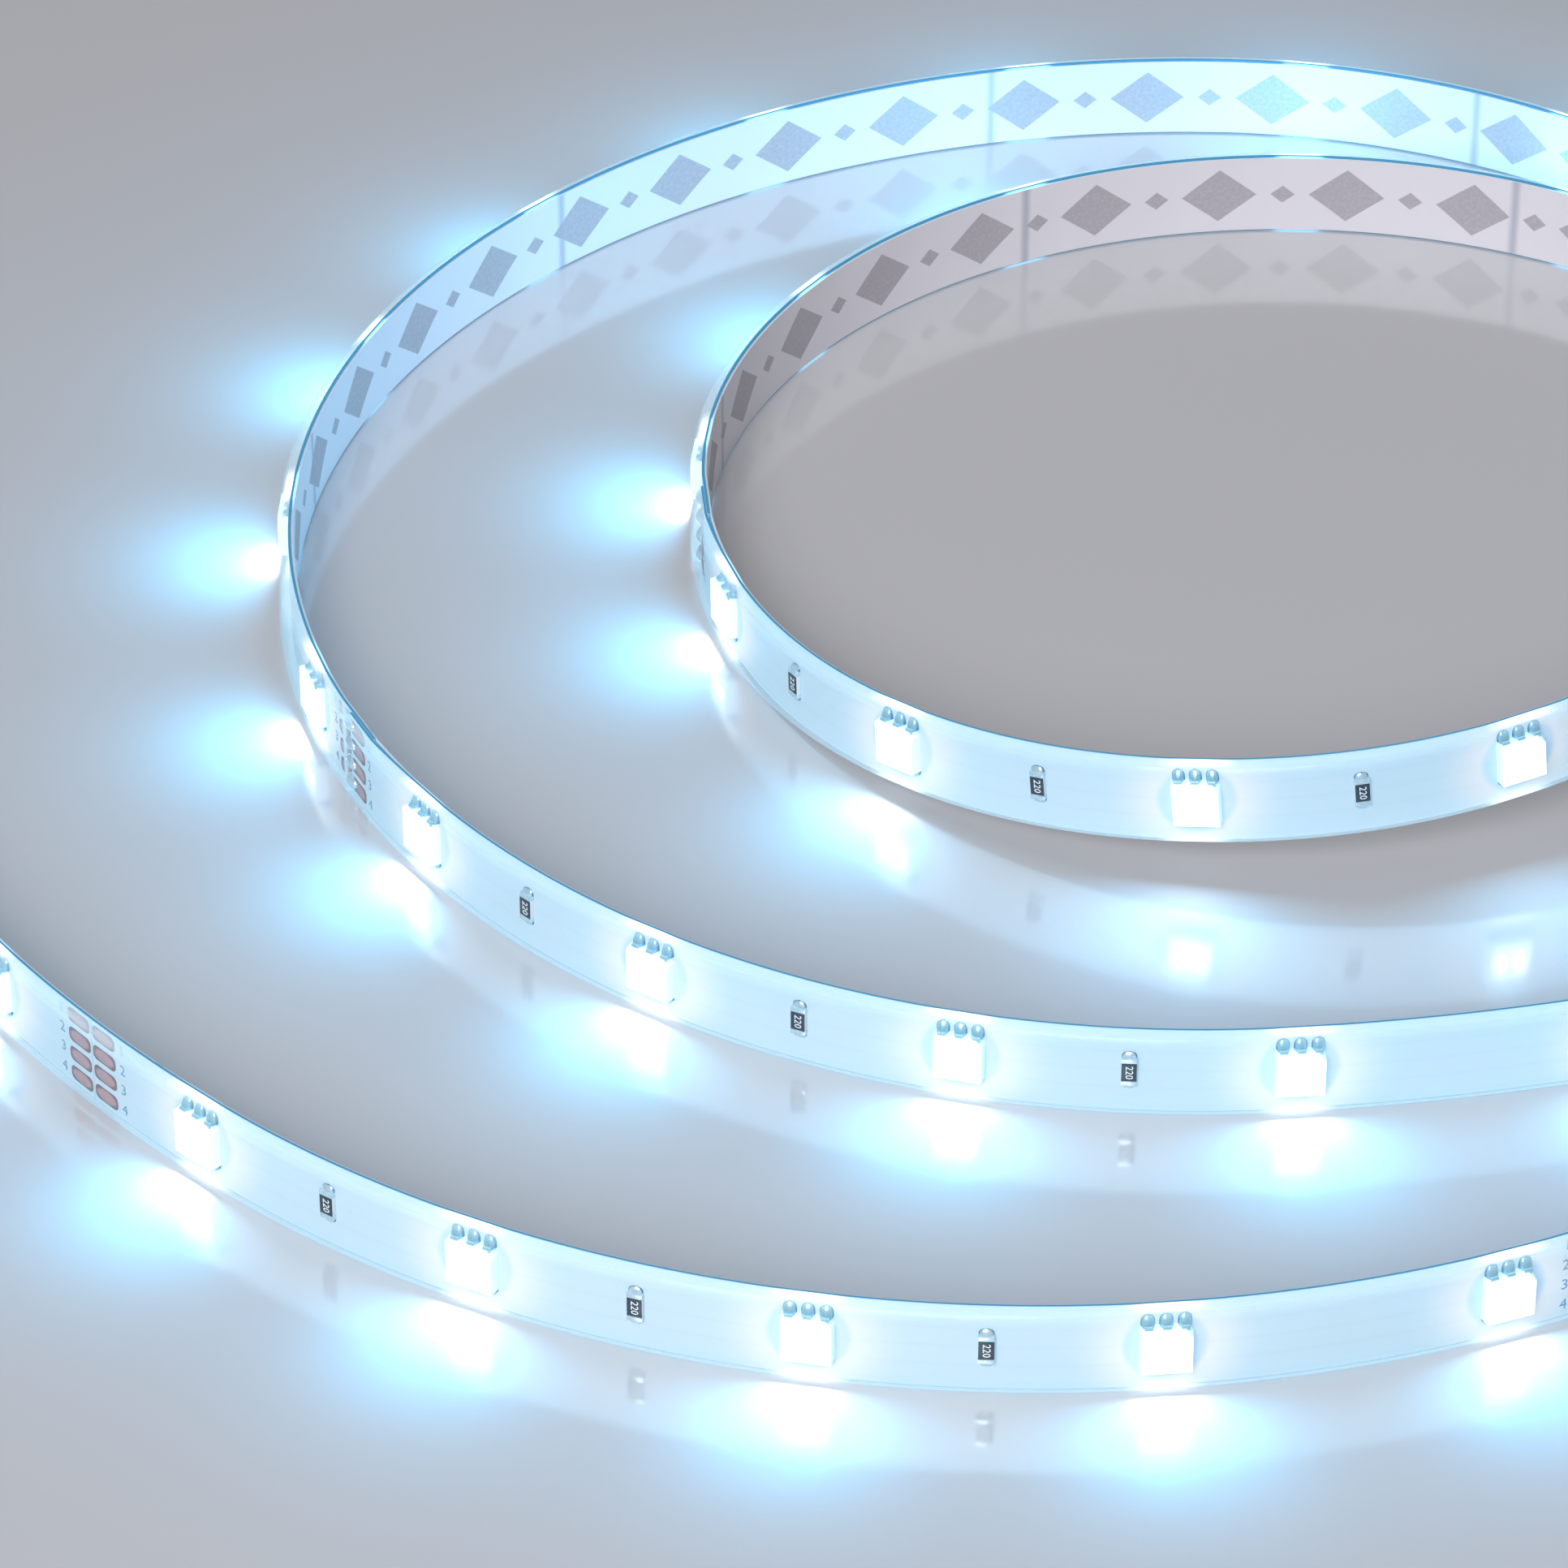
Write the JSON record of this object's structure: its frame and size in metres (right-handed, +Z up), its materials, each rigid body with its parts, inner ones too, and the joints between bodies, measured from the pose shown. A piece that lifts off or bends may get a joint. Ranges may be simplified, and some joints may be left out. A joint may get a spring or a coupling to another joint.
{
  "type": "led strip light coil",
  "caption": "Loose spiral coil of silicone-coated LED strip standing on its edge, with lit square packages facing out, chip resistors, soldered splices and paper-backed tape.",
  "frame": {"origin": "under the middle of the coil's bounding box, on the plane that it stands on", "axes": "+Z up, across the strip's width; +X to the right and +Y away from the viewer of the picture"},
  "size_m": [0.2596, 0.2384, 0.0225],
  "materials": {
    "board_white": "satin white solder mask on a polyimide board",
    "led_package": "white moulded housing with a lit, cloudy silicone window",
    "coat_silicone": "clear, glossy silicone run over the board",
    "tape_acrylic": "translucent white acrylic adhesive",
    "liner_paper": "silicone-coated release paper with a faint grey print"
  },
  "bodies": {
    "root": {"release_liner": "liner_paper", "adhesive_tape": "tape_acrylic", "flex_board_1": "board_white", "flex_board_2": "board_white", "flex_board_3": "board_white", "flex_board_4": "board_white", "silicone_coat_1": "coat_silicone", "silicone_coat_2": "coat_silicone", "silicone_coat_3": "coat_silicone", "silicone_coat_4": "coat_silicone", "led_01": "led_package", "led_02": "led_package", "led_03": "led_package", "led_04": "led_package", "led_05": "led_package", "led_06": "led_package", "led_07": "led_package", "led_08": "led_package", "led_09": "led_package", "led_10": "led_package", "led_11": "led_package", "led_12": "led_package", "led_13": "led_package", "led_14": "led_package", "led_15": "led_package", "led_16": "led_package", "led_17": "led_package", "led_18": "led_package", "led_19": "led_package", "led_20": "led_package", "led_21": "led_package", "led_22": "led_package", "led_23": "led_package", "led_24": "led_package", "led_25": "led_package", "led_26": "led_package", "led_27": "led_package", "led_28": "led_package", "led_29": "led_package", "led_30": "led_package", "led_31": "led_package", "led_32": "led_package", "led_33": "led_package", "led_34": "led_package", "led_35": "led_package", "led_36": "led_package", "led_37": "led_package", "led_38": "led_package", "led_39": "led_package", "led_40": "led_package", "led_41": "led_package", "led_42": "led_package", "led_43": "led_package", "led_44": "led_package", "led_45": "led_package"}
  },
  "joints": []
}
